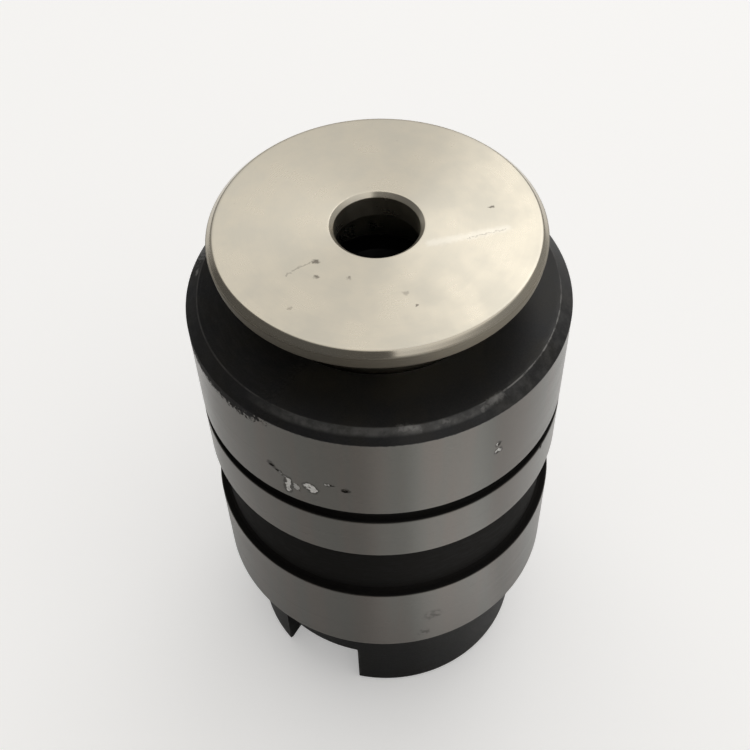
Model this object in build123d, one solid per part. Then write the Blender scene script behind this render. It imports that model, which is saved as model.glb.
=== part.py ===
from build123d import *

import os
from math import cos, radians, sqrt, tan

# Quick-change tapping collet, millimetres.
# +Z is the turning axis, from the driven end up to the release disc. z = 0 is the lower end face.
# The drive slot runs along Y.

# Tap that the collet holds
tap_shank_d = 5.5
tap_square = 4.5
tap_reach = 29.0            # from the nose's top down to the lower end of the square socket
tap_square_length = 8.0

# Locating shell, outside, from the stub upwards
land_d = 28.0
lower_land_h = 8.6
lock_groove_w = 6.2
lock_groove_depth = 0.7
groove_root = 0.2           # chamfer in the two corners of a groove's floor
middle_land_h = 4.6
band_groove_w = 1.1
band_groove_depth = 0.5
upper_land_h = 8.3
top_chamfer_w = 0.9
top_chamfer_h = 0.75
land_chamfer = 0.35
edge_break = 0.12

# Locating shell, inside
mouth_length = 5.25
mouth_chamfer = 0.35
seat_chamfer = 0.3

# Drive core
stub_d = 24.0
stub_h = 11.2
stub_chamfer = 0.5
slot_w = 7.6
slot_depth = 5.8
relief_bore_d = 7.2
relief_chamfer = 0.5
bore_lead_in = 0.4
nose_chamfer = 0.5

# Lock balls, in radial holes in the nose
ball_d = 3.5
ball_count = 3
ball_below_nose = 3.5       # from the nose's top down to the balls' centres
ball_projection = 1.1       # how far a ball stands out of the nose at rest
ball_lip = 0.25             # how much smaller, in radius, the hole is where it meets the bore
ball_lip_thickness = 0.4
guide_below_ball = 0.75     # from a ball's underside down to the thicker part that guides the sleeve

# Release sleeve: disc and skirt in one
disc_inset = 0.2            # how far the disc's rim lies inside the stub's
disc_thickness = 2.0
disc_edge = 0.47
disc_rim_lean = 0.14        # how far the rim leans in at its lower end
disc_under_chamfer = 0.6
disc_hole_d = 6.0
disc_hole_chamfer = 0.3
disc_root = 0.4
skirt_wall = 1.07
skirt_chamfer = 0.3
collar_length = 4.15
cone_half_angle = 12.0
release_stroke = 3.3
press_margin = 0.45         # left between the disc and the shell when the sleeve is pressed home

# Stop ring, a snap ring of flat wire
ring_thickness = 1.2
ring_width = 1.3            # radial
ring_depth = 0.6            # how deep it sits in the skirt
ring_gap_angle = 30.0

# Release spring and its upper seat
spring_wire_d = 1.1
spring_length = 11.2        # fitted between its seats
spring_active_turns = 4
spring_end_turns = 1        # closed turns at each end
spring_end_pitch = 1.02     # of a closed turn, in wire thicknesses
spring_wire_sides = 8       # the wire's section is drawn as a polygon
spring_ground = 0.33        # share of the wire's thickness ground off at each end
washer_thickness = 0.8
washer_inset = 0.4          # how far the washer's rim lies inside the skirt

# Clearances, on the radius unless said otherwise
tap_clearance = 0.02
square_clearance = 0.03
ball_bore_clearance = 0.03  # between a ball and the tap bore's wall line
ball_hole_clearance = 0.05
cone_clearance = 0.02
guide_clearance = 0.05      # between the collar and the core
mouth_clearance = 0.05
washer_clearance = 0.06
ring_clearance = 0.02
ring_stop_clearance = 0.05  # along the axis
pocket_clearance = 0.8
spring_clearance = 0.35
collar_pass_clearance = 0.06    # between the collar and a ball pushed in against its lip
cone_run_out = 0.3          # along the axis, past the ball at full stroke
nose_top_clearance = 0.2    # along the axis, under the pressed disc

# Heights of the outside, from the lower end up
lock_low = stub_h + lower_land_h
lock_high = lock_low + lock_groove_w
band_low = lock_high + middle_land_h
band_high = band_low + band_groove_w
land_top = band_high + upper_land_h
shell_top = land_top + top_chamfer_h
disc_low = shell_top + press_margin + release_stroke
disc_top = disc_low + disc_thickness

# Heights of the inside
nose_top = shell_top + press_margin - nose_top_clearance
ball_z = nose_top - ball_below_nose
cone_high = ball_z + release_stroke + cone_run_out
mouth_low = shell_top - mouth_length
ring_high = mouth_low - ring_stop_clearance
ring_low = ring_high - ring_thickness
square_low = nose_top - tap_reach
square_high = square_low + tap_square_length

# Radii, from the axis outwards
ball_r = ball_d / 2
bore_r = tap_shank_d / 2 + tap_clearance
ball_circle_r = bore_r + ball_bore_clearance + ball_r
nose_r = ball_circle_r + ball_r - ball_projection
lip_r = ball_r - ball_lip
ball_pushed_in_r = bore_r + ball_lip_thickness + sqrt(ball_r ** 2 - lip_r ** 2)
collar_r = ball_pushed_in_r + ball_r + collar_pass_clearance
guide_r = collar_r - guide_clearance
cone_slope = tan(radians(cone_half_angle))
cone_ball_r = ball_circle_r + (ball_r + cone_clearance) / cos(radians(cone_half_angle))
cone_high_r = cone_ball_r + (cone_high - ball_z) * cone_slope
skirt_r = cone_high_r + skirt_wall
ring_seat_r = skirt_r - ring_depth
ring_inner_r = ring_seat_r + ring_clearance
ring_outer_r = ring_inner_r + ring_width
mouth_r = skirt_r + mouth_clearance
pocket_r = ring_outer_r + pocket_clearance
land_r = land_d / 2
stub_r = stub_d / 2
disc_r = stub_r - disc_inset

# Heights that follow from the cone, from the ball down to the spring's lower seat
cone_low = ball_z - (cone_ball_r - collar_r) / cone_slope
guide_top = ball_z - ball_r - guide_below_ball
sleeve_low = cone_low - collar_length
washer_low = sleeve_low - washer_thickness
spring_floor = washer_low - spring_length

on_end = (Align.CENTER, Align.CENTER, Align.MIN)    # a solid that stands on its own origin


def turned(points):
    """Revolve a closed outline of (radius, height) points about Z."""
    return revolve(Plane.XZ * make_face(Polyline(*points, close=True)), Axis.Z)


def outside_groove(low, high, depth):
    """Outline points of a groove in the lands, going up, with broken edges and a chamfered root."""
    floor_r = land_r - depth
    return [
        (land_r, low - edge_break),
        (land_r - edge_break, low),
        (floor_r + groove_root, low),
        (floor_r, low + groove_root),
        (floor_r, high - groove_root),
        (floor_r + groove_root, high),
        (land_r - edge_break, high),
        (land_r, high + edge_break),
    ]


def locating_shell():
    """Outer shell: three ground lands, the lock groove, the band groove, the mouth and the pocket."""
    return turned([
        (pocket_r + seat_chamfer, stub_h),
        (land_r - land_chamfer, stub_h),
        (land_r, stub_h + land_chamfer),
        *outside_groove(lock_low, lock_high, lock_groove_depth),
        *outside_groove(band_low, band_high, band_groove_depth),
        (land_r, land_top),
        (land_r - top_chamfer_w, shell_top),
        (mouth_r + mouth_chamfer, shell_top),
        (mouth_r, shell_top - mouth_chamfer),
        (mouth_r, mouth_low),
        (pocket_r, mouth_low),
        (pocket_r, stub_h + seat_chamfer),
    ])


def ball_places():
    """One location per ball hole, with its local X pointing outwards along the hole."""
    return [Pos(0, 0, ball_z) * Rot(0, 0, 90 + 360 * n / ball_count) for n in range(ball_count)]


def ball_hole():
    """A radial hole through the nose wall, with the smaller lip that keeps the ball out of the bore."""
    lip_end = bore_r + ball_lip_thickness
    lip = Cylinder(lip_r, lip_end, rotation=(0, 90, 0), align=on_end)
    seat = Cylinder(ball_r + ball_hole_clearance, guide_r, rotation=(0, 90, 0), align=on_end)
    return lip + Pos(lip_end, 0, 0) * seat


def drive_core():
    """Driven stub with its slot, press seat, square socket, tap bore and nose with the ball holes."""
    relief_r = relief_bore_d / 2
    core = turned([
        (relief_r + relief_chamfer, 0),
        (stub_r - stub_chamfer, 0),
        (stub_r, stub_chamfer),
        (stub_r, stub_h),
        (pocket_r, stub_h),
        (pocket_r, spring_floor - seat_chamfer),
        (pocket_r - seat_chamfer, spring_floor),
        (guide_r, spring_floor),
        (guide_r, guide_top - (guide_r - nose_r)),
        (nose_r, guide_top),
        (nose_r, nose_top - nose_chamfer),
        (nose_r - nose_chamfer, nose_top),
        (bore_r + bore_lead_in, nose_top),
        (bore_r, nose_top - bore_lead_in),
        (bore_r, square_high),
        (0, square_high),
        (0, square_low),
        (relief_r, square_low),
        (relief_r, relief_chamfer),
    ])
    socket_w = tap_square + 2 * square_clearance
    core -= Pos(0, 0, square_low) * Box(socket_w, socket_w, tap_square_length, align=on_end)
    core -= Box(slot_w, 2 * stub_d, slot_depth, align=on_end)
    for place in ball_places():
        core -= place * ball_hole()
    return core


def release_sleeve():
    """Release disc with the tap hole, on a skirt with the locking cone and the guiding collar."""
    hole_r = disc_hole_d / 2
    return turned([
        (collar_r + skirt_chamfer, sleeve_low),
        (skirt_r - skirt_chamfer, sleeve_low),
        (skirt_r, sleeve_low + skirt_chamfer),
        (skirt_r, ring_low - ring_clearance),
        (ring_seat_r, ring_low - ring_clearance),
        (ring_seat_r, ring_high + ring_clearance),
        (skirt_r, ring_high + ring_clearance),
        (skirt_r, disc_low - disc_root),
        (skirt_r + disc_root, disc_low),
        (disc_r - disc_rim_lean - disc_under_chamfer, disc_low),
        (disc_r - disc_rim_lean, disc_low + disc_under_chamfer),
        (disc_r, disc_top - disc_edge),
        (disc_r - disc_edge, disc_top),
        (hole_r + disc_hole_chamfer, disc_top),
        (hole_r, disc_top - disc_hole_chamfer),
        (hole_r, disc_low),
        (cone_high_r, disc_low),
        (cone_high_r, cone_high),
        (collar_r, cone_low),
        (collar_r, sleeve_low + skirt_chamfer),
    ])


def stop_ring():
    """Snap ring in the skirt's groove, open at one side."""
    section = Plane.XZ * Pos(ring_inner_r, ring_low) * Rectangle(
        ring_width, ring_thickness, align=(Align.MIN, Align.MIN))
    return Rot(0, 0, ring_gap_angle / 2) * revolve(section, Axis.Z, 360 - ring_gap_angle)


def spring_washer():
    """Flat seat between the spring and the sleeve's collar."""
    inner_r = guide_r + washer_clearance
    outer_r = skirt_r - washer_inset
    return turned([
        (inner_r, washer_low),
        (outer_r, washer_low),
        (outer_r, sleeve_low),
        (inner_r, sleeve_low),
    ])


def half_turn(side, low, rise, coil_r):
    """Half a turn of wire in a tilted plane, from x = side * coil_r across to the other side.

    Both its ends run along Y, so half turns of any rise join smoothly.
    """
    start = Vector(side * coil_r, 0, low)
    centre = Vector(0, 0, low + rise / 2)
    forwards = Vector(0, side, 0)
    section = Plane(start, x_dir=(start - centre), z_dir=forwards) * RegularPolygon(
        spring_wire_d / 2, spring_wire_sides, major_radius=False)
    return revolve(section, Axis(centre, (start - centre).cross(forwards)), 180)


def release_spring():
    """Compression spring about the core: open turns between closed ends, which are ground flat."""
    coil_r = guide_r + spring_clearance + spring_wire_d / 2
    first_z = spring_floor + spring_wire_d * (0.5 - spring_ground)
    last_z = washer_low - spring_wire_d * (0.5 - spring_ground)
    end_rise = spring_wire_d * spring_end_pitch / 2
    open_rise = (last_z - first_z - 4 * spring_end_turns * end_rise) / (2 * spring_active_turns)
    end_rises = [end_rise] * (2 * spring_end_turns)
    rises = end_rises + [open_rise] * (2 * spring_active_turns) + end_rises
    halves = []
    side = 1
    low = first_z
    for rise in rises:
        halves.append(half_turn(side, low, rise, coil_r))
        low += rise
        side = -side
    between_seats = Cylinder(coil_r + spring_wire_d, spring_length, align=on_end)
    return halves[0].fuse(*halves[1:]) & Pos(0, 0, spring_floor) * between_seats


def lock_balls():
    """The balls at rest, each just clear of the tap bore."""
    return [place * Pos(ball_circle_r, 0, 0) * Sphere(ball_r) for place in ball_places()]


nodes = {
    "locating_shell": locating_shell(),
    "drive_core": drive_core(),
    "release_sleeve": release_sleeve(),
    "stop_ring": stop_ring(),
    "spring_washer": spring_washer(),
    "release_spring": release_spring(),
}
for number, ball in enumerate(lock_balls(), start=1):
    nodes[f"lock_ball_{number}"] = ball

os.makedirs("parts", exist_ok=True)
for name, shape in nodes.items():
    export_step(shape, f"parts/{name}.step")

print(f"total height {disc_top:.2f}, shell top {shell_top:.2f}, nose top {nose_top:.2f}")
print(f"ball centres at radius {ball_circle_r:.3f}, height {ball_z:.3f}")
print(f"cone slope {cone_slope:.6f}, ball travel {cone_slope * release_stroke:.4f}")
print(f"spring floor {spring_floor:.3f}, sleeve low end {sleeve_low:.3f}, pocket radius {pocket_r:.3f}")
print(f"nose radius {nose_r:.3f}, guide radius {guide_r:.3f}, tap bore radius {bore_r:.3f}")
print(f"square socket {square_low:.2f} to {square_high:.2f}, skirt radius {skirt_r:.3f}")
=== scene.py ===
"""Dresses the packed tapping collet: turned, ground and blackened steel pieces on its studio floor."""

from functools import reduce
from math import ceil, cos, pi, radians, sin, sqrt, tan

import bmesh
import bpy
from bpy.props import FloatProperty, FloatVectorProperty, IntProperty, PointerProperty
from bpy.types import Operator, PropertyGroup
from mathutils import Matrix, Vector, noise


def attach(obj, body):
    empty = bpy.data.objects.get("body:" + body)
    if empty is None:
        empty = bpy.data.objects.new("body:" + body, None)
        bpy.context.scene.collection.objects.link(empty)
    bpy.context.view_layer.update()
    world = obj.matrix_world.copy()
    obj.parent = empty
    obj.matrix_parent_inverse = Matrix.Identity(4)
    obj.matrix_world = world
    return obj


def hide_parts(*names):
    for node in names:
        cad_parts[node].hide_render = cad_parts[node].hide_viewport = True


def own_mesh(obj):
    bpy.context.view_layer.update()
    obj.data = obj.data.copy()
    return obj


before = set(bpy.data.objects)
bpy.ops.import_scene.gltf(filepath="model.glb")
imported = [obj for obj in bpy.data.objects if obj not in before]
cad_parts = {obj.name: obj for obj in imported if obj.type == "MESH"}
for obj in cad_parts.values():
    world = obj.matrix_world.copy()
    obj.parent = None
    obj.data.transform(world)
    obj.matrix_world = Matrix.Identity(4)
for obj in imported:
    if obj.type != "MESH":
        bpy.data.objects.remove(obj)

bl_info = {
    "name": "Tapping Collet",
    "version": (1, 0, 0),
    "blender": (4, 5, 0),
    "location": "3D View > Sidebar > Collet",
    "description": "Builds a quick-change tapping collet in ground, turned and blackened steel",
    "category": "Add Mesh",
}

MM = 0.001
FLOOR_RADIUS = 0.9
BALL_HOLE_SIDES = 64
SAME_PLACE, NO_LENGTH = 1e-7, 1e-8  # How close two points may lie, and how short an edge may be.
CRISP = radians(26)  # An edge that turns more than this looks sharp.
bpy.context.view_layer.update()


def length(name, millimetres, description):
    """A length that is kept in metres and given here in millimetres."""
    return FloatProperty(name=name, description=description, default=millimetres * MM,
                         min=0.0, precision=5, unit="LENGTH")


def angle(name, degrees, description):
    """An angle that is kept in radians and given here in degrees."""
    return FloatProperty(name=name, description=description, default=radians(degrees), subtype="ANGLE")


def share(name, value, description):
    """A part of a whole, from 0 to 1."""
    return FloatProperty(name=name, description=description, default=value, min=0.0, max=1.0, subtype="FACTOR")


def number(name, value, description):
    """A plain number."""
    return FloatProperty(name=name, description=description, default=value)


def colour(name, rgb, description):
    """A linear colour."""
    return FloatVectorProperty(name=name, description=description, default=rgb, size=3,
                               min=0.0, max=1.0, subtype="COLOR")


class ShellSizes(PropertyGroup):
    """Outline of the locating shell, from the stub upwards."""
    land_radius: length("Land radius", 14.0, "The three ground lands")
    lock_low: length("Lock groove from", 19.8, "Lower side of the wide groove")
    lock_high: length("Lock groove to", 26.0, "Upper side of the wide groove")
    lock_depth: length("Lock groove depth", 0.7, "Depth of the wide groove")
    band_low: length("Band groove from", 30.6, "Lower side of the narrow groove")
    band_high: length("Band groove to", 31.7, "Upper side of the narrow groove")
    band_depth: length("Band groove depth", 0.5, "Depth of the narrow groove")
    land_top: length("Top of the lands", 40.0, "Where the upper land meets the chamfer")
    high: length("Upper end", 40.75, "The black top face")
    top_chamfer: length("Top chamfer", 0.9, "Width of the black chamfer")
    low_chamfer: length("Lower chamfer", 0.35, "Chamfer at the shell's lower end")
    groove_root: length("Groove root", 0.2, "Chamfer beside a groove's floor")
    edge_break: length("Edge break", 0.12, "Chamfer of a groove's edges")
    mouth_radius: length("Mouth radius", 8.245, "Bore that the sleeve slides in")
    mouth_low: length("Mouth from", 35.5, "Lower side of the mouth's bore")
    mouth_chamfer: length("Mouth chamfer", 0.35, "Chamfer round the mouth")
    pocket_radius: length("Pocket radius", 9.715, "Wide bore below the mouth")
    seat_chamfer: length("Seat chamfer", 0.3, "Chamfer at the pocket's lower end")


class CoreSizes(PropertyGroup):
    """Outline and cuts of the drive core."""
    stub_radius: length("Stub radius", 12.0, "The black driven end")
    stub_height: length("Stub height", 11.2, "Shoulder that carries the shell")
    stub_chamfer: length("Stub chamfer", 0.5, "Chamfer round the lower end")
    slot_width: length("Slot width", 7.6, "Width of the drive slot")
    slot_depth: length("Slot depth", 5.8, "Depth of the drive slot")
    slot_break: length("Slot edge break", 0.2, "Chamfer of the slot's edges")
    relief_radius: length("Relief bore radius", 3.6, "Bore up to the square")
    relief_chamfer: length("Relief chamfer", 0.5, "Chamfer round the relief bore")
    square_low: length("Square from", 12.0, "Lower end of the square socket")
    square_high: length("Square to", 20.0, "Upper end of the square socket")
    square_width: length("Square width", 4.56, "Across the socket's flats")
    bore_radius: length("Tap bore radius", 2.77, "Bore for the tap's shank")
    spring_floor: length("Spring floor", 19.1, "Height of the spring's lower seat")
    guide_radius: length("Guide radius", 5.831, "Guides the sleeve's collar")
    guide_top: length("Guide top", 35.0, "Where the core steps in to the nose")
    nose_radius: length("Nose radius", 5.2, "The nose round the balls")
    nose_top: length("Nose top", 41.0, "Height of the nose")
    ball_height: length("Ball height", 37.5, "Centres of the balls")
    ball_circle: length("Ball circle", 4.55, "Circle through the balls' centres")
    ball_radius: length("Ball radius", 1.75, "Radius of a lock ball")
    ball_room: length("Ball room", 0.05, "Room round a ball in its hole")
    ball_lip: length("Ball lip", 0.25, "How much the hole narrows at the bore")
    lip_end: length("Lip end", 3.17, "Radius where the lip ends")


class SleeveSizes(PropertyGroup):
    """Outline of the release sleeve: disc, skirt, cone and collar."""
    disc_radius: length("Disc radius", 11.8, "The bright release disc")
    disc_low: length("Disc from", 44.5, "Underside of the disc")
    disc_high: length("Disc to", 46.5, "Top face of the disc")
    disc_edge: length("Disc edge", 0.47, "Chamfer round the top face")
    rim_lean: length("Rim lean", 0.14, "How far the rim leans in at its lower end")
    under_chamfer: length("Under chamfer", 0.6, "Chamfer round the underside")
    hole_radius: length("Tap hole radius", 3.0, "Hole that the tap goes through")
    hole_chamfer: length("Tap hole chamfer", 0.3, "Chamfer round the tap hole")
    skirt_radius: length("Skirt radius", 8.195, "Outside of the skirt")
    skirt_root: length("Skirt root", 0.4, "Chamfer where the skirt meets the disc")
    skirt_low: length("Skirt from", 31.1, "Lower end of the skirt")
    skirt_chamfer: length("Skirt chamfer", 0.3, "Chamfer at the skirt's lower end")
    ring_low: length("Ring groove from", 34.23, "Lower side of the stop ring's groove")
    ring_high: length("Ring groove to", 35.47, "Upper side of the stop ring's groove")
    ring_seat: length("Ring groove radius", 7.595, "Floor of the stop ring's groove")
    cone_low: length("Cone from", 35.25, "Lower end of the locking cone")
    cone_high: length("Cone to", 41.1, "Upper end of the locking cone")
    cone_radius: length("Cone radius", 7.125, "At the upper end of the cone")
    collar_radius: length("Collar radius", 5.881, "Bore that runs on the core")


class SpringSizes(PropertyGroup):
    """The release spring about the core."""
    wire_radius: length("Wire radius", 0.55, "Half the wire's thickness")
    coil_radius: length("Coil radius", 6.731, "Radius of the coil's centre line")
    high: length("Upper seat", 30.3, "Height of the upper ground end")
    stroke: length("Stroke", 3.3, "How far the sleeve presses the spring")
    active_turns: number("Open turns", 4.0, "Turns between the closed ends")
    end_turns: number("Closed turns", 1.0, "Closed turns at each end")
    end_pitch: number("Closed pitch", 1.02, "Rise of a closed turn, in wire thicknesses")
    ground: share("Ground share", 0.33, "Share of the wire ground off at each end")


class Workmanship(PropertyGroup):
    """How finely the pieces are turned, rounded and knocked about."""
    steps: IntProperty(name="Steps round", description="Faces round a turned piece", default=256, min=24)
    soft_edge: length("Soft edge", 0.06, "Rounding of an edge left sharp")
    edge_support: length("Edge support", 0.12, "How far beside a rounding its face is held flat")
    dent_depth: length("Dent depth", 0.12, "Depth of the knocks in the lands")


class Finishes(PropertyGroup):
    """Colours and wear of the steels."""
    ground: colour("Ground steel", (0.135, 0.1315, 0.125), "The three ground lands")
    disc: colour("Turned steel", (0.69, 0.635, 0.525), "The release disc and its skirt")
    black: colour("Black oxide", (0.0145, 0.0148, 0.0165), "Blackened steel")
    brown: colour("Brown oxide", (0.0190, 0.0177, 0.0155), "Black steel where it turns brown")
    worn: colour("Worn black", (0.24, 0.235, 0.225), "Steel that shows through the black")
    spring: colour("Spring steel", (0.20, 0.20, 0.205), "Spring, washer and stop ring")
    ball: colour("Ball steel", (0.72, 0.72, 0.73), "Polished balls")
    stain: colour("Stain", (0.10, 0.085, 0.07), "Dark specks and stains on bare steel")
    # The worn colour also carries painted light: the right of the shell's top chamfer and its thin ring
    # highlight.
    flake: colour("Flake", (0.86, 0.85, 0.82), "Torn bright steel in the knocks")
    wear: share("Wear", 0.5, "How far the black has worn off its edges")


class Studio(PropertyGroup):
    """Camera, floor and lights."""
    heading: angle("Heading", 32.5, "Where the camera looks, from +Y towards -X")
    tilt: angle("Tilt", 50.8, "How far the camera looks down")
    roll: angle("Roll", 2.034, "How far the camera leans")
    camera_place: FloatVectorProperty(name="Camera place", description="In metres",
                                      default=(0.030805, -0.049259, 0.101417), unit="LENGTH")
    focal: number("Focal length", 55.71, "In millimetres on a 36 mm sensor")
    floor: colour("Floor", (0.90, 0.896, 0.89), "Plain pale floor")
    floor_glow: number("Floor glow", 0.36, "Brightness of the floor in the picture")
    floor_shade: number("Floor shade", 0.2, "Share of the glow that metal mirrors at the front left")
    floor_light: number("Floor light", 2.0, "Share of the glow that metal mirrors at the front right")
    sky: number("Sky", 0.95, "Strength of the light from above")
    horizon: number("Horizon", 0.33, "Strength of the light from low down")
    flag: number("Flag", 0.12, "Light past the dark flag at the front left")
    flag_edge: angle("Flag edge", -47.0, "Direction of its sharp right edge, from +X")
    key: number("Key lamp", 0.19, "Watts of the lamp behind the piece")


def joined(operation):
    """A method that joins a value with another through a Math node."""
    return lambda value, other: value.graph.math(operation, value, other)


class Value:
    """What a node puts out. Sums and products with it, and | for the larger, add their own nodes."""

    __add__ = joined("ADD")
    __sub__ = joined("SUBTRACT")
    __mul__ = joined("MULTIPLY")
    __truediv__ = joined("DIVIDE")
    __or__ = joined("MAXIMUM")

    def __init__(self, graph, socket):
        self.graph, self.socket = graph, socket

    def __rsub__(self, other):
        return self.graph.math("SUBTRACT", other, self)

    def ramp(self, low, high, to_low=0.0, to_high=1.0, kind="SMOOTHSTEP"):
        """A number that goes from to_low to to_high as this one goes from low to high."""
        return self.graph.out("ShaderNodeMapRange", {0: self, 1: low, 2: high, 3: to_low, 4: to_high},
                              interpolation_type=kind)

    def near(self, middle, full, none):
        """1 where this lies within full of the middle, falling to 0 at none from it."""
        return self.graph.math("ABSOLUTE", self - middle).ramp(full, none, 1.0, 0.0)

    def mix(self, a, b):
        """a where this is 0 and b where it is 1: two numbers or two colours."""
        return self.graph.mix(self, a, b)


def any_of(masks):
    """One mask that shows where any of them does."""
    return reduce(Value.__or__, masks)


class Graph:
    """Short calls that add and link the nodes of one tree."""

    def __init__(self, tree):
        self.tree = tree
        tree.nodes.clear()

    def feed(self, socket, value):
        if isinstance(value, Value):
            self.tree.links.new(value.socket, socket)
        else:
            socket.default_value = (*value, 1.0) if socket.type == "RGBA" else value

    def add(self, kind, values=None, **settings):
        node = self.tree.nodes.new(kind)
        for name, value in settings.items():
            setattr(node, name, value)
        for key, value in (values or {}).items():
            self.feed(node.inputs[key], value)
        return node

    def out(self, kind, values=None, output=0, **settings):
        """A new node's output, by its number or name."""
        return Value(self, self.add(kind, values, **settings).outputs[output])

    def outs(self, kind, values=None):
        """All outputs of a new node, by name."""
        return {socket.name: Value(self, socket) for socket in self.add(kind, values).outputs}

    def math(self, operation, *values, clamp=False):
        return self.out("ShaderNodeMath", dict(enumerate(values)), operation=operation, use_clamp=clamp)

    def vector_math(self, operation, one, other=None):
        """A vector, or a number where the operation gives one."""
        values = {0: one}
        if other is not None:
            values[3 if operation == "SCALE" else 1] = other
        output = 1 if operation in ("LENGTH", "DOT_PRODUCT") else 0
        return self.out("ShaderNodeVectorMath", values, output, operation=operation)

    def point(self, x, y, z):
        return self.out("ShaderNodeCombineXYZ", {0: x, 1: y, 2: z})

    def split(self, place):
        """Its x, y and z."""
        return self.outs("ShaderNodeSeparateXYZ", {0: place}).values()

    def mix(self, factor, a, b, kind="MIX"):
        """Colours where either end is one, and otherwise numbers."""
        colours = any(end.socket.type == "RGBA" if isinstance(end, Value) else hasattr(end, "__len__")
                      for end in (a, b))
        a_at, b_at, output = (6, 7, 2) if colours else (2, 3, 0)
        return self.out("ShaderNodeMix", {0: factor, a_at: a, b_at: b}, output,
                        data_type="RGBA" if colours else "FLOAT", blend_type=kind)


def lies_towards(x, y, turn):
    """How far a place lies in the direction that is turned that much from +X towards +Y."""
    return x * cos(turn) + y * sin(turn)


def on_rim(degrees, radius, height):
    """A point on a turned surface."""
    turn = radians(degrees)
    return radius * cos(turn), radius * sin(turn), height


class Finish(Graph):
    """A metal's material, with the places on a turned piece ready to use, in millimetres."""

    def __init__(self, name):
        self.material = bpy.data.materials.new(name)
        self.material.use_nodes = True
        super().__init__(self.material.node_tree)
        self.place = self.vector_math("SCALE", self.out("ShaderNodeTexCoord", output="Object"), 1 / MM)
        self.x, self.y, self.height = self.split(self.place)
        self.radius = self.math("SQRT", self.x * self.x + self.y * self.y)
        jitter = self.out("ShaderNodeTexNoise", {"Vector": self.place, "Scale": 3.5, "Detail": 3.0}, "Color")
        jitter = self.vector_math("SCALE", self.vector_math("SUBTRACT", jitter, (0.5, 0.5, 0.5)), 0.5)
        self.ragged = self.vector_math("ADD", self.place, jitter)

    def noise(self, scale, detail=3.0, roughness=0.55, place=None):
        return self.out("ShaderNodeTexNoise", {"Vector": place or self.place, "Scale": scale,
                                               "Detail": detail, "Roughness": roughness})

    def times(self, a, b):
        """One colour multiplied by another."""
        return self.mix(1.0, a, b, "MULTIPLY")

    def stretched(self, along_x, along_radius, along_height):
        """Coordinates for lines that run round the axis: fine in radius and height, long in x and y."""
        flat = self.vector_math("MULTIPLY", self.place, (along_x, along_x, 0.0))
        lift = self.radius * along_radius + self.height * along_height
        return self.vector_math("ADD", flat, self.point(0.0, 0.0, lift))

    def towards(self, degrees):
        """1 where the surface lies in that direction from the axis, falling to -1 on the far side."""
        return lies_towards(self.x, self.y, radians(degrees)) / (self.radius | 0.001)

    def away(self, start, end=None):
        """Ragged distance in millimetres from a point, or from the straight line between two points."""
        past = self.vector_math("SUBTRACT", self.ragged, start)
        if end:
            run = Vector(end) - Vector(start)
            along = self.vector_math("DOT_PRODUCT", past, run)
            along = self.math("DIVIDE", along, run.length_squared, clamp=True)
            past = self.vector_math("SUBTRACT", past, self.vector_math("SCALE", run, along))
        return self.vector_math("LENGTH", past)

    def spot(self, start, reach, soft=0.4, end=None):
        """1 in a spot about a point or along a line, 0 outside its reach."""
        return self.away(start, end).ramp(reach * soft, reach, 1.0, 0.0)

    def metal(self, base, roughness, relief, depth, strength, metallic=1.0, lined=0.0, specular=0.5):
        """Ends the tree. The relief of 0 to 1 is that many metres deep, before its strength.

        lined is how much the tool lines round the axis spread the shine across them.
        """
        normal = self.out("ShaderNodeBump", {"Height": relief, "Distance": depth, "Strength": strength})
        shader = self.out("ShaderNodeBsdfPrincipled", {
            "Base Color": base, "Roughness": roughness, "Metallic": metallic, "Anisotropic": lined,
            "Anisotropic Rotation": 0.25 if lined else 0.0, "Specular IOR Level": specular, "Normal": normal})
        self.add("ShaderNodeOutputMaterial", {0: shader})
        return self.material


def black_oxide(finish, look, worn):
    """Colour and roughness of blackened steel, with the given share worn to bare metal."""
    grain = finish.noise(9.0)
    base = finish.noise(0.35, 4.0).ramp(0.35, 0.7).mix(look.black, look.brown)
    base = grain.ramp(0.35, 0.75, 0.0, 0.35).mix(base, (0.034, 0.033, 0.031))
    return worn.mix(base, look.worn), worn.mix(grain.ramp(0.3, 0.7, 0.3, 0.42), 0.34)


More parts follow.
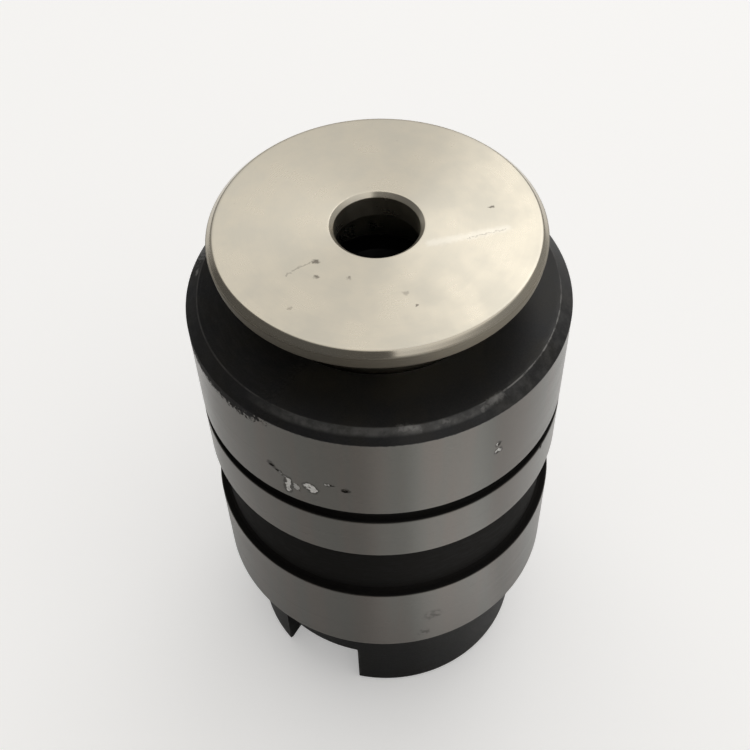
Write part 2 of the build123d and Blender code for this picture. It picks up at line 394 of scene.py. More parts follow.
def shell_steel(look):
    """Ground lands, with black oxide in the grooves, on the top chamfer and on the top face."""
    finish = Finish("ground_and_black_steel")
    radius, height = finish.radius, finish.height
    land, chamfer = 14.0, 39.9  # Radius of the lands, and the height where the chamfer starts.
    lands = radius.ramp(land - 0.07, land - 0.015)
    grooves = height.ramp(36.0, 37.0, 1.0, 0.0)
    on_top = height.ramp(chamfer - 0.2, chamfer)

    # The black of the chamfer ends in a fine uneven line, and at the left in a ragged fringe.
    grit = finish.noise(4.2, 4.0, 0.65)
    left = finish.towards(-128.0).ramp(0.7, 0.93)
    fringe = finish.noise(4.0, 5.0, 0.75) + height.ramp(38.0, chamfer) * left * 0.46
    specks = fringe.ramp(0.73, 0.77)
    lip = (height + grit.ramp(0.3, 0.7, -0.03, 0.03)).ramp(chamfer, chamfer + 0.05)

    # Knocks in the lands: a dark edge of one reach round a pale torn core of another.
    dark, pale = [], []
    for degrees, low, turn, rise, core, rim, shine in (
            (-86.6, 33.95, -0.5, -1.3, 0.19, 0.42, 1.0), (-84.2, 33.5, 0.1, -0.2, 0.28, 0.38, 0.45),
            (-80.0, 34.0, 1.0, -0.25, 0.42, 0.6, 1.0), (-74.8, 34.8, 2.0, 0.05, 0.08, 0.16, 0.5),
            (-69.3, 34.45, 0.5, 0.03, 0.0, 0.32, 0.0), (-92.4, 34.95, 0.3, -0.05, 0.0, 0.36, 0.0),
            (-92.2, 34.9, 2.5, -0.42, 0.0, 0.22, 0.0), (-89.6, 34.48, 2.0, -0.3, 0.07, 0.24, 0.35),
            (-0.7, 30.3, 0.1, 0.1, 0.0, 0.2, 0.0), (-23.6, 36.44, 0.1, 0.05, 0.16, 0.32, 0.7),
            (-23.5, 35.66, 0.5, 0.0, 0.22, 0.38, 0.7)):
        far = finish.away(on_rim(degrees, land, low), on_rim(degrees + turn, land, low + rise))
        dark.append(far.ramp(rim * 0.7, rim, 1.0, 0.0))
        if core:
            pale.append(far.ramp(core * 0.7, core, shine, 0.0))
    heart = finish.spot(on_rim(-80.1, land, 33.9), 0.2)
    dark = any_of(dark)
    pale = any_of(pale) * grit.ramp(0.38, 0.5, 0.7, 1.0) * heart.ramp(0.0, 1.0, 1.0, 0.1)
    bare = lands * (1.0 - (specks | lip)) | dark | pale

    # Wear of the black, with painted light on it: a rubbed edge in front, painted light mottled at the right,
    # silver nicks, and a thin ring that is a painted edge highlight, brightest at the right.
    streaks = finish.noise(1.2, 4.0, 0.65, finish.stretched(0.7, 4.0, 4.0))
    broken = streaks.ramp(0.35, 0.65)
    front = finish.towards(-60.0).ramp(0.72, 0.92)
    right = finish.towards(0.0).ramp(0.8, 0.98)
    rub = radius.near(13.3, 0.1, 0.34) * front * broken.mix(0.16, 0.42)
    # Painted light: the chamfer is lightened in mottles at the right, where the light falls.
    mottle_painted_light = right * radius.ramp(12.6, 13.3) * broken.mix(0.02, 0.16)
    silver = broken.mix(0.3, 0.85) * any_of(
        finish.spot(on_rim(degrees, out, low), reach, 0.0, on_rim(degrees + turn, out, low))
        for degrees, turn, out, low, reach in (
            (-53.0, 3.0, 13.2, 40.66, 0.42), (-49.0, 1.5, 13.28, 40.6, 0.36), (-40.5, 1.6, 13.28, 40.6, 0.34),
            (-28.2, 1.0, 13.33, 40.56, 0.3), (-25.4, 4.4, 13.24, 40.63, 0.42), (-156.5, 1.5, 13.42, 40.5, 0.3)))
    # Painted highlight: the thin ring stands for the edge's highlight and is strongest at the right.
    ring = radius.near(13.1, 0.02, 0.08) * (right * broken.ramp(0.2, 0.8, 0.2, 0.75) | broken.mix(0.1, 0.28))
    worn = on_top * (rub | mottle_painted_light | silver | ring) * (look.wear * 2)
    black, black_rough = black_oxide(finish, look, worn)
    # Painted shade: the black in the grooves is darker than the black on top, standing for shade in the
    # recesses.
    black = grooves.mix(black, broken.mix((0.0035, 0.003, 0.0026), (0.0085, 0.0074, 0.006)))
    black_rough = (grooves | specks).mix(black_rough, streaks.ramp(0.35, 0.65, 0.68, 0.82))

    # The ground lands: fine lines round the axis, broad changes of tone, and two stains.
    lines = finish.noise(1.0, 3.0, 0.6, finish.stretched(0.02, 0.0, 10.0))
    broad = finish.vector_math("MULTIPLY", finish.place, (0.5, 0.5, 0.03))
    panels = finish.noise(1.0, 2.0, place=broad).ramp(0.35, 0.65)
    steel = finish.times(look.ground, panels.mix((0.97, 0.99, 0.95), (1.06, 0.985, 0.93)))
    steel = lines.ramp(0.3, 0.7, 0.0, 0.06).mix(steel, (0.30, 0.29, 0.275))
    steel = grit.ramp(0.35, 0.7, 0.0, 0.2).mix(steel, look.ground * 0.7)
    stains = finish.spot(on_rim(-42.8, land, 15.6), 1.0) | finish.spot(on_rim(-45.8, land, 12.95), 0.7)
    stains = finish.noise(3.0, 4.0).ramp(0.42, 0.6) * stains
    steel = (stains * 0.6 | dark * 0.8).mix(steel, (0.03, 0.026, 0.022))
    steel = pale.mix(steel, look.flake)
    steel_rough = lines.ramp(0.25, 0.75, 0.2, 0.28) | pale * 0.6

    metallic = bare.mix(grooves.mix(0.5, 0.6), pale.ramp(0.0, 1.0, 1.0, 0.35))
    return finish.metal(bare.mix(black, steel), bare.mix(black_rough, steel_rough),
                        bare.mix(finish.noise(7.0), lines), 0.000012, 0.14, metallic, 0.75, 0.42)


def core_steel(look):
    """Black oxide all over, worn at the stub's edges, and darkened all over as painted shade."""
    finish = Finish("black_steel")
    radius, height = finish.radius, finish.height
    across = finish.math("ABSOLUTE", finish.x)
    corners = radius.ramp(11.7, 11.95) * across.near(3.8, 0.05, 0.3) * height.ramp(5.6, 5.9, 1.0, 0.0)
    foot = radius.ramp(11.3, 11.5) * height.near(0.25, 0.2, 0.6)
    patch = finish.noise(1.1, 4.0, 0.7).ramp(0.42, 0.65)
    dust = finish.noise(3.2, 5.0, 0.75).ramp(0.62, 0.8, 0.0, 0.06)
    base, rough = black_oxide(finish, look, ((corners | foot) * patch | dust) * (look.wear * 1.2))
    relief = finish.noise(1.0, 4.0, place=finish.stretched(0.3, 6.0, 6.0))
    # Painted shade: the core's colour is darkened to three tenths, for the stub low in the floor's shade.
    return finish.metal(finish.times(base, (0.3, 0.3, 0.3)), rough, relief, 0.000015, 0.4, 0.6, 0.5, 0.06)


def disc_steel(look):
    """Bright face-turned steel with its concentric tool lines, cloudy film, scratches and specks, and painted
    shade on its chamfer and rim.
    """
    finish = Finish("turned_steel")
    height, top = finish.height, 46.5
    edge = finish.radius.ramp(11.28, 11.34)
    rim = edge * height.ramp(46.02, 46.2, 1.0, 0.0)
    rings = finish.noise(1.0, 4.0, 0.6, finish.stretched(0.015, 8.0, 8.0))
    cloud = finish.noise(0.3, 4.0, 0.6)
    base = cloud.ramp(0.35, 0.68, 0.0, 0.5).mix(look.disc, (0.60, 0.575, 0.50))
    base = rings.ramp(0.3, 0.7, 0.0, 0.12).mix(base, (0.58, 0.55, 0.49))
    # Painted shade: the chamfer and rim are the same steel made darker.
    base = edge.mix(base, finish.times(base, (0.84, 0.83, 0.82)))

    def marks(*rows):
        """Spots on the top face at x and y with a reach and a softness, some on to a second x and y."""
        return any_of(finish.spot((x, y, top), reach, soft, (*to, top) if to else None)
                      for x, y, reach, soft, *to in rows)

    # A paler streak runs from the hole out to the right.
    pale_streak = marks((4.06, 0.18, 0.5, 0.1, 6.08, 2.1), (6.08, 2.1, 0.5, 0.1, 7.84, 3.99))
    faint = marks((-0.83, -9.48, 0.22, 0.4), (4.96, -4.61, 0.28, 0.4), (-2.68, -7.18, 0.11, 0.3, -2.43, -6.22),
                  (-2.43, -6.22, 0.11, 0.3, -1.92, -5.43), (6.05, 1.86, 0.08, 0.3, 7.88, 3.9))
    specks = marks((-1.75, -5.19, 0.25, 0.2, -1.6, -5.1), (-0.87, -6.24, 0.28, 0.2), (1.04, -5.29, 0.22, 0.1),
                   (6.1, -5.17, 0.18, 0.4), (5.85, 5.25, 0.11, 0.4, 6.15, 5.43))
    specks = specks | finish.spot(on_rim(162.2, 11.62, 46.3), 0.34)
    fine = finish.noise(2.4, 5.0, 0.8).ramp(0.67, 0.75, 0.0, 0.3) * height.ramp(46.3, 46.4)

    base = (pale_streak * 0.35).mix(base, (0.86, 0.83, 0.76))
    # Painted shade on the rim: the film darkens it all round, most towards the front left.
    film = finish.towards(-80.0).ramp(0.45, 0.95).mix((0.46, 0.45, 0.43), (0.25, 0.245, 0.235))
    base = rim.mix(base, finish.times(base, film))
    base = (specks * 0.75 | faint * 0.34 | fine).mix(base, look.stain)
    rough = (rings * 0.35 + cloud).ramp(0.5, 0.85, 0.27, 0.33)
    rough = edge.mix(rough, rim.mix(0.16, 0.5))
    return finish.metal(base, rough, edge.mix(rings, 0.5), 0.00001, 0.08, 1.0, 0.7)


def plain_steel(name, rgb, low_rough, high_rough, fleck):
    """Steel with a fine grain and a faint film, for the pieces inside."""
    finish = Finish(name)
    grain = finish.noise(6.0, 4.0)
    base = grain.ramp(0.35, 0.7, 0.0, fleck).mix(rgb, rgb * 0.55)
    rough = finish.noise(0.7).ramp(0.3, 0.7, low_rough, high_rough)
    return finish.metal(base, rough, grain, 0.000008, 0.3)


def rounded(corners, soft, support, closed=True):
    """The outline through (radius, height) corners, with each corner turned into a small arc.

    A corner may bring its own rounding as a third number. Points beside each arc keep the flats flat.
    """
    points = []
    count = len(corners)
    most, arc_step = 0.45, radians(15)
    for index, corner in enumerate(corners):
        here = Vector(corner[:2])
        if not closed and index in (0, count - 1):
            points.append(here)
            continue
        back = Vector(corners[index - 1][:2]) - here
        on = Vector(corners[(index + 1) % count][:2]) - here
        wanted = corner[2] if len(corner) > 2 else soft
        half = back.angle(on) / 2
        reach = min(wanted / tan(half), most * back.length, most * on.length)
        fillet = reach * tan(half)
        held = reach + support
        to_back, to_on = back.normalized(), on.normalized()
        centre = here + (to_back + to_on).normalized() * (fillet / sin(half))
        if back.length > 2 * held:
            points.append(here + to_back * held)
        steps = max(2, ceil((pi - 2 * half) / arc_step))
        start = here + to_back * reach - centre
        sweep = start.angle_signed(here + to_on * reach - centre)
        for step in range(steps + 1):
            points.append(centre + Matrix.Rotation(-sweep * step / steps, 2) @ start)
        if on.length > 2 * held:
            points.append(here + to_on * held)
    return points


def placed(name, data):
    """A new object in the scene, at the origin."""
    item = bpy.data.objects.new(name, data)
    bpy.context.scene.collection.objects.link(item)
    return item


def mesh_of(work, name):
    """A new mesh with what was drawn."""
    mesh = bpy.data.meshes.new(name)
    work.to_mesh(mesh)
    work.free()
    return mesh


def fit(name, mesh, material, body, node):
    """Shows a mesh as one smooth piece with crisp edges, on a body and in place of its CAD node."""
    mesh.name = name
    mesh.shade_smooth()
    mesh.set_sharp_from_angle(angle=CRISP)
    work = bmesh.new()
    work.from_mesh(mesh)
    for edge in work.edges:
        if len({face.material_index for face in edge.link_faces}) > 1:
            edge.smooth = False
    for face in work.faces:
        face.material_index = 0
    work.to_mesh(mesh)
    work.free()
    mesh.materials.clear()
    mesh.materials.append(material)
    piece = placed(name, mesh)
    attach(piece, body)
    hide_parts(node)
    return piece


def settled(piece):
    """The piece's mesh with its modifiers worked in; the piece itself goes."""
    graph = bpy.context.evaluated_depsgraph_get()
    mesh = bpy.data.meshes.new_from_object(piece.evaluated_get(graph), depsgraph=graph)
    old = piece.data
    bpy.data.objects.remove(piece)
    if old.users == 0:
        bpy.data.meshes.remove(old)
    return mesh


def mended(mesh):
    """Merges doubled points and turns every face outwards."""
    work = bmesh.new()
    work.from_mesh(mesh)
    bmesh.ops.remove_doubles(work, verts=work.verts, dist=SAME_PLACE)
    bmesh.ops.dissolve_degenerate(work, edges=work.edges, dist=NO_LENGTH)
    bmesh.ops.recalc_face_normals(work, faces=work.faces)
    work.to_mesh(mesh)
    work.free()
    return mesh


def geometry_tree(name, inputs):
    """A Geometry Nodes tree with a geometry, a material and numbers as inputs: its graph, its inputs."""
    tree = bpy.data.node_groups.new(name, "GeometryNodeTree")
    for direction in ("INPUT", "OUTPUT"):
        tree.interface.new_socket("Geometry", in_out=direction, socket_type="NodeSocketGeometry")
    tree.interface.new_socket("Material", in_out="INPUT", socket_type="NodeSocketMaterial")
    for label, default in inputs.items():
        kind = "NodeSocketInt" if isinstance(default, int) else "NodeSocketFloat"
        tree.interface.new_socket(label, in_out="INPUT", socket_type=kind).default_value = default
    graph = Graph(tree)
    return graph, graph.outs("NodeGroupInput")


def finish_tree(graph, geometry, material):
    """Ends a tree as plain smooth faces with their material."""
    smooth = graph.out("GeometryNodeSetShadeSmooth", {"Geometry": geometry})
    real = graph.out("GeometryNodeRealizeInstances", {"Geometry": smooth})
    done = graph.out("GeometryNodeSetMaterial", {"Geometry": real, "Material": material})
    graph.add("NodeGroupOutput", {0: done})
    return graph.tree


def ring(graph, sides, radius):
    """A circle, to sweep or to sweep along."""
    return graph.out("GeometryNodeCurvePrimitiveCircle", {"Resolution": sides, "Radius": radius})


def lathe_tree():
    """Turns an outline drawn in X (radius) and Y (height) round the axis."""
    graph, given = geometry_tree("Lathe", {"Steps": 256, "Guide Radius": MM})
    outline = graph.out("GeometryNodeMeshToCurve", {"Mesh": given["Geometry"]})
    inward = graph.point(given["Guide Radius"] * -1.0, 0.0, 0.0)
    outline = graph.out("GeometryNodeTransform", {"Geometry": outline, "Translation": inward})
    guide = ring(graph, given["Steps"], given["Guide Radius"])
    turned = graph.out("GeometryNodeCurveToMesh", {"Curve": guide, "Profile Curve": outline})
    return finish_tree(graph, turned, given["Material"])


def on_circle(graph, turn, radius, height):
    """A place round the axis, with every number from a tree."""
    return graph.point(graph.math("COSINE", turn) * radius, graph.math("SINE", turn) * radius, height)


def spring_tree():
    """Winds a compression spring: closed ends, open turns between, and ends ground flat on their seats."""
    graph, given = geometry_tree("Ground spring", {
        "Wire Radius": 0.00055, "Coil Radius": 0.0067, "Low": 0.0, "High": 0.0112, "Open Turns": 4.0,
        "Closed Turns": 1.0, "Closed Pitch": 1.02, "Ground": 0.33, "Points Per Turn": 72, "Wire Sides": 24})
    closed, opened, low, high = (given[name] for name in ("Closed Turns", "Open Turns", "Low", "High"))
    turns = opened + closed * 2.0
    points = turns * given["Points Per Turn"] + 1.0
    line = graph.out("GeometryNodeCurvePrimitiveLine")
    line = graph.out("GeometryNodeResampleCurve", {"Curve": line, "Count": points})
    along = graph.out("GeometryNodeInputIndex") / given["Points Per Turn"]

    wire = given["Wire Radius"] * 2.0
    inset = wire * (0.5 - given["Ground"])
    first = low + inset
    last = high - inset
    closed_rise = wire * given["Closed Pitch"] * closed
    open_rise = last - first - closed_rise * 2.0
    into_open = closed + opened
    rise = (along.ramp(0.0, closed, 0.0, closed_rise, "LINEAR")
            + along.ramp(closed, into_open, 0.0, open_rise, "LINEAR")
            + along.ramp(into_open, turns, 0.0, closed_rise, "LINEAR"))
    place = on_circle(graph, along * (2 * pi), given["Coil Radius"], first + rise)
    coil = graph.out("GeometryNodeSetPosition", {"Geometry": line, "Position": place})
    section = ring(graph, given["Wire Sides"], given["Wire Radius"])
    tube = graph.out("GeometryNodeCurveToMesh", {"Curve": coil, "Profile Curve": section, "Fill Caps": True})
    x, y, z = graph.split(graph.out("GeometryNodeInputPosition"))
    flat = graph.math("MINIMUM", z | low, high)
    ground = graph.out("GeometryNodeSetPosition", {"Geometry": tube, "Position": graph.point(x, y, flat)})
    return finish_tree(graph, ground, given["Material"])


def ball_tree():
    """One lock ball in its radial hole."""
    graph, given = geometry_tree("Lock ball", {
        "Ball Radius": 0.00175, "Circle Radius": 0.00455, "Height": 0.0375, "Turn": 0.0})
    ball = graph.out("GeometryNodeMeshUVSphere", {"Segments": 64, "Rings": 40, "Radius": given["Ball Radius"]})
    place = on_circle(graph, given["Turn"], given["Circle Radius"], given["Height"])
    ball = graph.out("GeometryNodeTransform", {"Geometry": ball, "Translation": place})
    return finish_tree(graph, ball, given["Material"])


def grown(name, tree, values, mesh=None):
    """Runs a Geometry Nodes tree on a new object and returns the plain mesh it makes."""
    seed = placed(name, mesh or bpy.data.meshes.new(name))
    modifier = seed.modifiers.new(name, "NODES")
    modifier.node_group = tree
    sockets = {item.name: item.identifier for item in tree.interface.items_tree
               if item.item_type == "SOCKET" and item.in_out == "INPUT"}
    for label, value in values.items():
        modifier[sockets[label]] = value
    return settled(seed)


def turned(name, corners, work, material, closed=True):
    """Turns an outline, given in metres, into a closed solid. The tree sweeps the outline's Y downwards."""
    points = rounded(corners, work.soft_edge, work.edge_support, closed)
    outline = bpy.data.meshes.new(name)
    edges = [(i, i + 1) for i in range(len(points) - 1)]
    if closed:
        edges.append((len(points) - 1, 0))
    outline.from_pydata([(p.x, -p.y, 0.0) for p in points], edges, [])
    tree = bpy.data.node_groups.get("Lathe") or lathe_tree()
    return mended(grown(name, tree, {"Steps": work.steps, "Material": material}, outline))


def cut_away(mesh, cutters):
    """Takes each cutter's mesh out of a solid. The cut faces come out in the second material slot."""
    steel = mesh.materials[0]
    mesh.materials.append(steel)
    solid = placed("cut", mesh)
    tools = []
    for cutter in cutters:
        cutter.materials.append(steel)
        cutter.materials.append(steel)
        cutter.polygons.foreach_set("material_index", [1] * len(cutter.polygons))
        tool = placed("cutter", cutter)
        modifier = solid.modifiers.new("cut", "BOOLEAN")
        modifier.operation, modifier.solver, modifier.object = "DIFFERENCE", "EXACT", tool
        tools.append(tool)
    bpy.context.view_layer.update()
    result = mended(settled(solid))
    for tool, cutter in zip(tools, cutters):
        bpy.data.objects.remove(tool)
        bpy.data.meshes.remove(cutter)
    return result


def drawn_bar(section, reach):
    """A bar along Y to both sides, with a section of (x, z) points."""
    work = bmesh.new()
    face = work.faces.new([work.verts.new((x, -reach, z)) for x, z in section])
    moved = bmesh.ops.extrude_face_region(work, geom=[face])["geom"]
    ends = [part for part in moved if isinstance(part, bmesh.types.BMVert)]
    bmesh.ops.translate(work, verts=ends, vec=(0, 2 * reach, 0))
    bmesh.ops.recalc_face_normals(work, faces=work.faces)
    return mesh_of(work, "bar")


def radial_rod(radius, start, end, height, turn):
    """A round rod that points away from the axis."""
    work = bmesh.new()
    middle = Matrix.Translation(((start + end) / 2, 0, height))
    place = Matrix.Rotation(turn, 4, "Z") @ middle @ Matrix.Rotation(pi / 2, 4, "Y")
    bmesh.ops.create_cone(work, cap_ends=True, segments=BALL_HOLE_SIDES, depth=end - start,
                          radius1=radius, radius2=radius, matrix=place)
    return mesh_of(work, "rod")


def knock(place, wide, tall, depth, seed):
    """A rough lump that leaves a dent where it is cut from a surface."""
    work = bmesh.new()
    up = Vector((0, 0, 1))
    outward = Vector((place[0], place[1], 0)).normalized()
    along = outward.cross(up)
    roughness, grain = 0.35, 1.7
    bmesh.ops.create_icosphere(work, subdivisions=3, radius=1.0)
    for vertex in work.verts:
        rough = 1 + roughness * noise.noise(vertex.co * grain + Vector((seed, 0, 0)))
        shape = vertex.co * rough
        vertex.co = Vector(place) + along * shape.x * wide + up * shape.z * tall + outward * shape.y * depth
    bmesh.ops.recalc_face_normals(work, faces=work.faces)
    return mesh_of(work, "knock")


def ball_turns():
    """Directions of the three lock balls from the axis."""
    return [radians(degrees) for degrees in (90, 210, 330)]


class BuildShell(Operator):
    """Turn the locating shell, with its lands, grooves and dents"""
    bl_idname = "collet.build_shell"
    bl_label = "Locating Shell"

    def execute(self, context):
        scene = context.scene
        size, work = scene.collet_shell, scene.collet_work
        land, mouth, pocket = size.land_radius, size.mouth_radius, size.pocket_radius
        low = scene.collet_core.stub_height

        def groove(start, end, depth):
            floor, root, edge = land - depth, size.groove_root, size.edge_break
            return [(land, start - edge), (land - edge, start), (floor + root, start), (floor, start + root),
                    (floor, end - root), (floor + root, end), (land - edge, end), (land, end + edge)]

        corners = [
            (pocket + size.seat_chamfer, low), (land - size.low_chamfer, low),
            (land, low + size.low_chamfer),
            *groove(size.lock_low, size.lock_high, size.lock_depth),
            *groove(size.band_low, size.band_high, size.band_depth),
            (land, size.land_top), (land - size.top_chamfer, size.high),
            (mouth + size.mouth_chamfer, size.high), (mouth, size.high - size.mouth_chamfer),
            (mouth, size.mouth_low), (pocket, size.mouth_low), (pocket, low + size.seat_chamfer)]
        material = shell_steel(scene.collet_finishes)
        mesh = turned("locating_shell", corners, work, material)
        # Direction, height, half width, half height, and share of the full depth.
        marks = (
            (-86.8, 33.3, 0.22, 0.7, 0.5), (-84.2, 33.4, 0.26, 0.3, 0.35), (-79.5, 33.95, 0.42, 0.36, 0.5),
            (-73.4, 34.82, 0.24, 0.08, 0.4), (-69.2, 34.45, 0.24, 0.2, 1.2), (-92.0, 34.87, 0.22, 0.14, 0.8),
            (-89.8, 34.52, 0.3, 0.09, 0.5), (-23.6, 36.44, 0.2, 0.2, 0.5), (-23.4, 35.66, 0.26, 0.22, 0.5),
            (-0.65, 30.32, 0.16, 0.14, 0.9))
        knocks, seed_step = [], 3.7
        for count, (degrees, height, wide, tall, deep) in enumerate(marks):
            place, depth = on_rim(degrees, land, height * MM), work.dent_depth * deep
            knocks.append(knock(place, wide * MM, tall * MM, depth, count * seed_step))
        mesh = cut_away(mesh, knocks)
        fit("ground_shell", mesh, material, "body", "locating_shell")
        return {"FINISHED"}


class BuildCore(Operator):
    """Turn the drive core and mill its slot, its square and its ball holes"""
    bl_idname = "collet.build_core"
    bl_label = "Drive Core"

    def execute(self, context):
        scene = context.scene
        size, work = scene.collet_core, scene.collet_work
        relief, stub, pocket = size.relief_radius, size.stub_radius, scene.collet_shell.pocket_radius
        guide, nose, bore = size.guide_radius, size.nose_radius, size.bore_radius
        floor, low, high, top = size.spring_floor, size.square_low, size.square_high, size.nose_top
        lead, nose_chamfer, seat, foot_round = 0.4 * MM, 0.5 * MM, 0.3 * MM, 0.1 * MM
        corners = [
            (0.0, low), (relief, low), (relief, size.relief_chamfer), (relief + size.relief_chamfer, 0.0),
            (stub - size.stub_chamfer, 0.0, foot_round), (stub, size.stub_chamfer, foot_round),
            (stub, size.stub_height), (pocket, size.stub_height),
            (pocket, floor - seat), (pocket - seat, floor), (guide, floor),
            (guide, size.guide_top - (guide - nose)), (nose, size.guide_top),
            (nose, top - nose_chamfer), (nose - nose_chamfer, top),
            (bore + lead, top), (bore, top - lead), (bore, high), (0.0, high)]
        material = core_steel(scene.collet_finishes)
        mesh = turned("drive_core", corners, work, material, closed=False)
        half, slot_break, past = size.slot_width / 2, size.slot_break, 1 * MM
        root, root_break = size.slot_depth, slot_break / 2
        section = [(-half - slot_break - past, -past), (half + slot_break + past, -past), (half, slot_break),
                   (half, root - root_break), (half - root_break, root), (-half + root_break, root),
                   (-half, root - root_break), (-half, slot_break)]
        wall = size.square_width / 2
        square = [(-wall, low - past), (wall, low - past), (wall, high), (-wall, high)]
        cutters = [drawn_bar(section, 2 * stub), drawn_bar(square, wall)]
        for turn in ball_turns():
            for radius, start in ((size.ball_radius - size.ball_lip, 0.0),
                                  (size.ball_radius + size.ball_room, size.lip_end)):
                cutters.append(radial_rod(radius, start, guide + past, size.ball_height, turn))
        mesh = cut_away(mesh, cutters)
        fit("slotted_core", mesh, material, "body", "drive_core")
        return {"FINISHED"}


class BuildSleeve(Operator):
    """Turn the release sleeve: the bright disc, its skirt, cone and collar"""
    bl_idname = "collet.build_sleeve"
    bl_label = "Release Sleeve"

    def execute(self, context):
        scene = context.scene
        size, work = scene.collet_sleeve, scene.collet_work
        disc, low, high = size.disc_radius, size.disc_low, size.disc_high
        skirt, foot, chamfer = size.skirt_radius, size.skirt_low, size.skirt_chamfer
        rim, collar, hole, cone = disc - size.rim_lean, size.collar_radius, size.hole_radius, size.cone_radius
        # The corners of the rim are rounder than the other edges.
        low_round, rim_round, top_round = 0.6 * MM, 0.25 * MM, 0.3 * MM
        corners = [
            (collar + chamfer, foot), (skirt - chamfer, foot), (skirt, foot + chamfer),
            (skirt, size.ring_low), (size.ring_seat, size.ring_low),
            (size.ring_seat, size.ring_high), (skirt, size.ring_high),
            (skirt, low - size.skirt_root), (skirt + size.skirt_root, low),
            (rim - size.under_chamfer, low), (rim, low + size.under_chamfer, low_round),
            (disc, high - size.disc_edge, rim_round), (disc - size.disc_edge, high, top_round),
            (hole + size.hole_chamfer, high), (hole, high - size.hole_chamfer), (hole, low),
            (cone, low), (cone, size.cone_high), (collar, size.cone_low), (collar, foot + chamfer)]
        material = disc_steel(scene.collet_finishes)
        mesh = turned("release_sleeve", corners, work, material)
        fit("release_disc", mesh, material, "sleeve", "release_sleeve")
        return {"FINISHED"}


class BuildSpring(Operator):
    """Wind the release spring, and finish the washer and the stop ring that the CAD model brings"""
    bl_idname = "collet.build_spring"
    bl_label = "Spring, Washer and Ring"

    def execute(self, context):
        scene = context.scene
        size, low = scene.collet_spring, scene.collet_core.spring_floor
        material = plain_steel("spring_steel", scene.collet_finishes.spring, 0.3, 0.45, 0.5)
        mesh = grown("release_spring", spring_tree(), {
            "Wire Radius": size.wire_radius, "Coil Radius": size.coil_radius, "Low": low,
            "High": size.high, "Open Turns": size.active_turns, "Closed Turns": size.end_turns,
            "Closed Pitch": size.end_pitch, "Ground": size.ground, "Material": material})
        piece = fit("wound_spring", mesh, material, "body", "release_spring")
        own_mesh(piece)
        for name in ("spring_washer", "stop_ring"):
            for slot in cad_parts[name].material_slots:
                slot.material = material
        return {"FINISHED"}


class BuildBalls(Operator):
    """Set the lock balls in their holes"""
    bl_idname = "collet.build_balls"
    bl_label = "Lock Balls"

    def execute(self, context):
        size = context.scene.collet_core
        material = plain_steel("ball_steel", context.scene.collet_finishes.ball, 0.08, 0.14, 0.1)
        tree = ball_tree()
        for count, turn in enumerate(ball_turns(), 1):
            mesh = grown(f"lock_ball_{count}", tree, {
                "Ball Radius": size.ball_radius, "Circle Radius": size.ball_circle, "Height": size.ball_height,
                "Turn": turn, "Material": material})
            fit(f"polished_ball_{count}", mesh, material, f"ball_{count}", f"lock_ball_{count}")
        return {"FINISHED"}


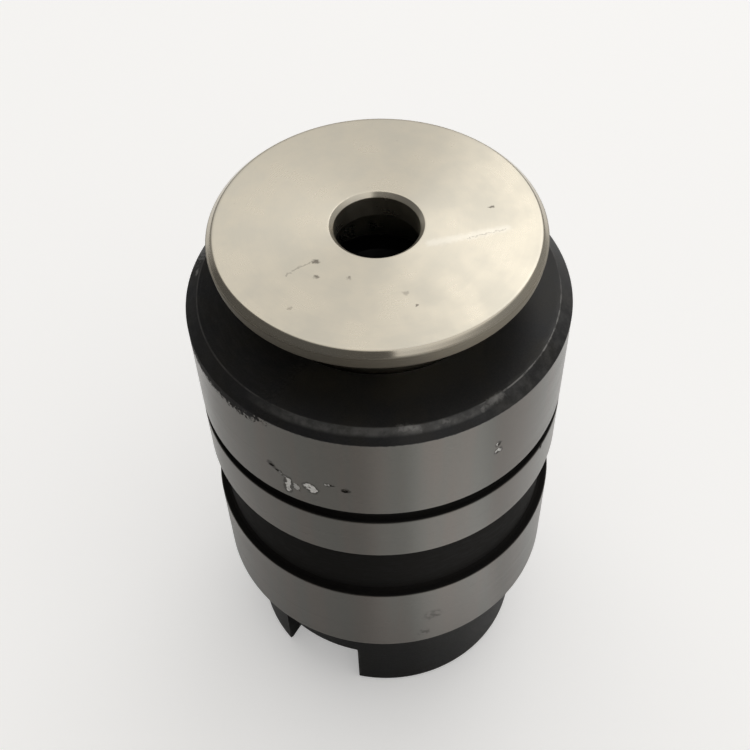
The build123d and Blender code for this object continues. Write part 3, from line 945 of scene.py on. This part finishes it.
class SetStage(Operator):
    """Lay the floor, hang the lights and place the camera"""
    bl_idname = "collet.set_stage"
    bl_label = "Floor, Lights and Camera"

    def execute(self, context):
        scene = context.scene
        studio = scene.collet_studio
        scene.view_settings.view_transform = "Standard"
        self.lay_floor(studio)
        self.hang_lights(scene, studio)
        self.place_camera(scene, studio)
        return {"FINISHED"}

    def lay_floor(self, studio):
        work = bmesh.new()
        bmesh.ops.create_circle(work, cap_ends=True, segments=96, radius=FLOOR_RADIUS)
        mesh = mesh_of(work, "floor")
        material = bpy.data.materials.new("studio_floor")
        material.use_nodes = True
        mesh.materials.append(material)
        graph = Graph(material.node_tree)
        place = graph.out("ShaderNodeTexCoord", output="Object")
        x, y, _ = graph.split(graph.vector_math("NORMALIZE", place))
        # The glow that metal mirrors holds painted light and shade: a painted pool of light at the front right,
        # painted shade at the front left and a painted shadow near the foot.
        front_right, front_left = radians(-22.0), radians(-118.0)
        light = lies_towards(x, y, front_right).ramp(0.883, 0.99)
        shade = lies_towards(x, y, front_left).ramp(0.47, 0.71)
        # Painted shadow: the mirrored glow falls away near the foot.
        foot = graph.vector_math("LENGTH", place).ramp(0.013, 0.027, 0.15, 1.0)
        mirrored = shade.mix(light.mix(0.85, studio.floor_light), studio.floor_shade) * foot
        rays = graph.outs("ShaderNodeLightPath")
        seen = rays["Is Camera Ray"] | rays["Is Transmission Ray"] | rays["Is Glossy Ray"] * mirrored
        matt = graph.out("ShaderNodeBsdfDiffuse", {"Color": studio.floor})
        glow = graph.out("ShaderNodeEmission", {"Color": studio.floor, "Strength": seen * studio.floor_glow})
        graph.add("ShaderNodeOutputMaterial", {0: graph.out("ShaderNodeAddShader", {0: matt, 1: glow})})
        placed("floor", mesh)

    def hang_lights(self, scene, studio):
        world = bpy.data.worlds.new("studio_sky")
        world.use_nodes = True
        scene.world = world
        graph = Graph(world.node_tree)
        x, y, up = graph.split(graph.out("ShaderNodeTexCoord", output="Generated"))
        sharp = lies_towards(x, y, studio.flag_edge - pi / 2).ramp(0.0, 0.05)
        soft = lies_towards(x, y, studio.flag_edge - pi / 4).ramp(-0.1, 0.2)
        flag = sharp * soft * up.ramp(0.8, 0.97, 1.0, 0.0)
        strength = flag.mix(up.ramp(0.48, 0.68, studio.horizon, studio.sky), studio.flag)
        sky = graph.out("ShaderNodeBackground", {"Color": (1.0, 0.985, 0.96), "Strength": strength})
        graph.add("ShaderNodeOutputWorld", {0: sky})

        behind, distance, aim = 92.0, 0.45, Vector((0.0, 0.0, 0.03))
        reach = distance * sqrt(0.5)  # At 45 degrees above the floor.
        lamp = bpy.data.lights.new("key_lamp", "AREA")
        lamp.size = 0.26
        lamp.energy = studio.key
        holder = placed("key_lamp", lamp)
        holder.location = on_rim(behind, reach, reach)
        holder.rotation_euler = (aim - holder.location).to_track_quat("-Z", "Y").to_euler()

    def place_camera(self, scene, studio):
        camera = bpy.data.cameras.new("camera")
        camera.lens = studio.focal
        camera.sensor_width = 36.0
        camera.clip_start = 0.005
        holder = placed("camera", camera)
        holder.matrix_world = (
            Matrix.Translation(studio.camera_place) @ Matrix.Rotation(studio.heading, 4, "Z")
            @ Matrix.Rotation(pi / 2 - studio.tilt, 4, "X") @ Matrix.Rotation(-studio.roll, 4, "Z"))
        scene.camera = holder


class ColletPanel(bpy.types.Panel):
    """Lists the collet's pieces and settings"""
    bl_idname = "COLLET_PT_panel"
    bl_label = "Tapping Collet"
    bl_space_type = "VIEW_3D"
    bl_region_type = "UI"
    bl_category = "Collet"

    def draw(self, context):
        for operator in STEPS:
            self.layout.operator(operator.bl_idname)
        for name, group in GROUPS.items():
            box = self.layout.box()
            box.label(text=group.__doc__)
            settings = getattr(context.scene, name)
            for field in group.__annotations__:
                box.prop(settings, field)


GROUPS = {
    "collet_shell": ShellSizes,
    "collet_core": CoreSizes,
    "collet_sleeve": SleeveSizes,
    "collet_spring": SpringSizes,
    "collet_work": Workmanship,
    "collet_finishes": Finishes,
    "collet_studio": Studio,
}
STEPS = (BuildShell, BuildCore, BuildSleeve, BuildSpring, BuildBalls, SetStage)


def register():
    for group in GROUPS.values():
        bpy.utils.register_class(group)
    for item in (*STEPS, ColletPanel):
        bpy.utils.register_class(item)
    for name, group in GROUPS.items():
        setattr(bpy.types.Scene, name, PointerProperty(type=group))


def unregister():
    for name in GROUPS:
        delattr(bpy.types.Scene, name)
    for item in (ColletPanel, *reversed(STEPS), *reversed(GROUPS.values())):
        bpy.utils.unregister_class(item)


def main():
    register()
    bpy.ops.collet.set_stage()
    bpy.ops.collet.build_shell()
    bpy.ops.collet.build_core()
    bpy.ops.collet.build_sleeve()
    bpy.ops.collet.build_spring()
    bpy.ops.collet.build_balls()


if __name__ == "__main__":
    main()
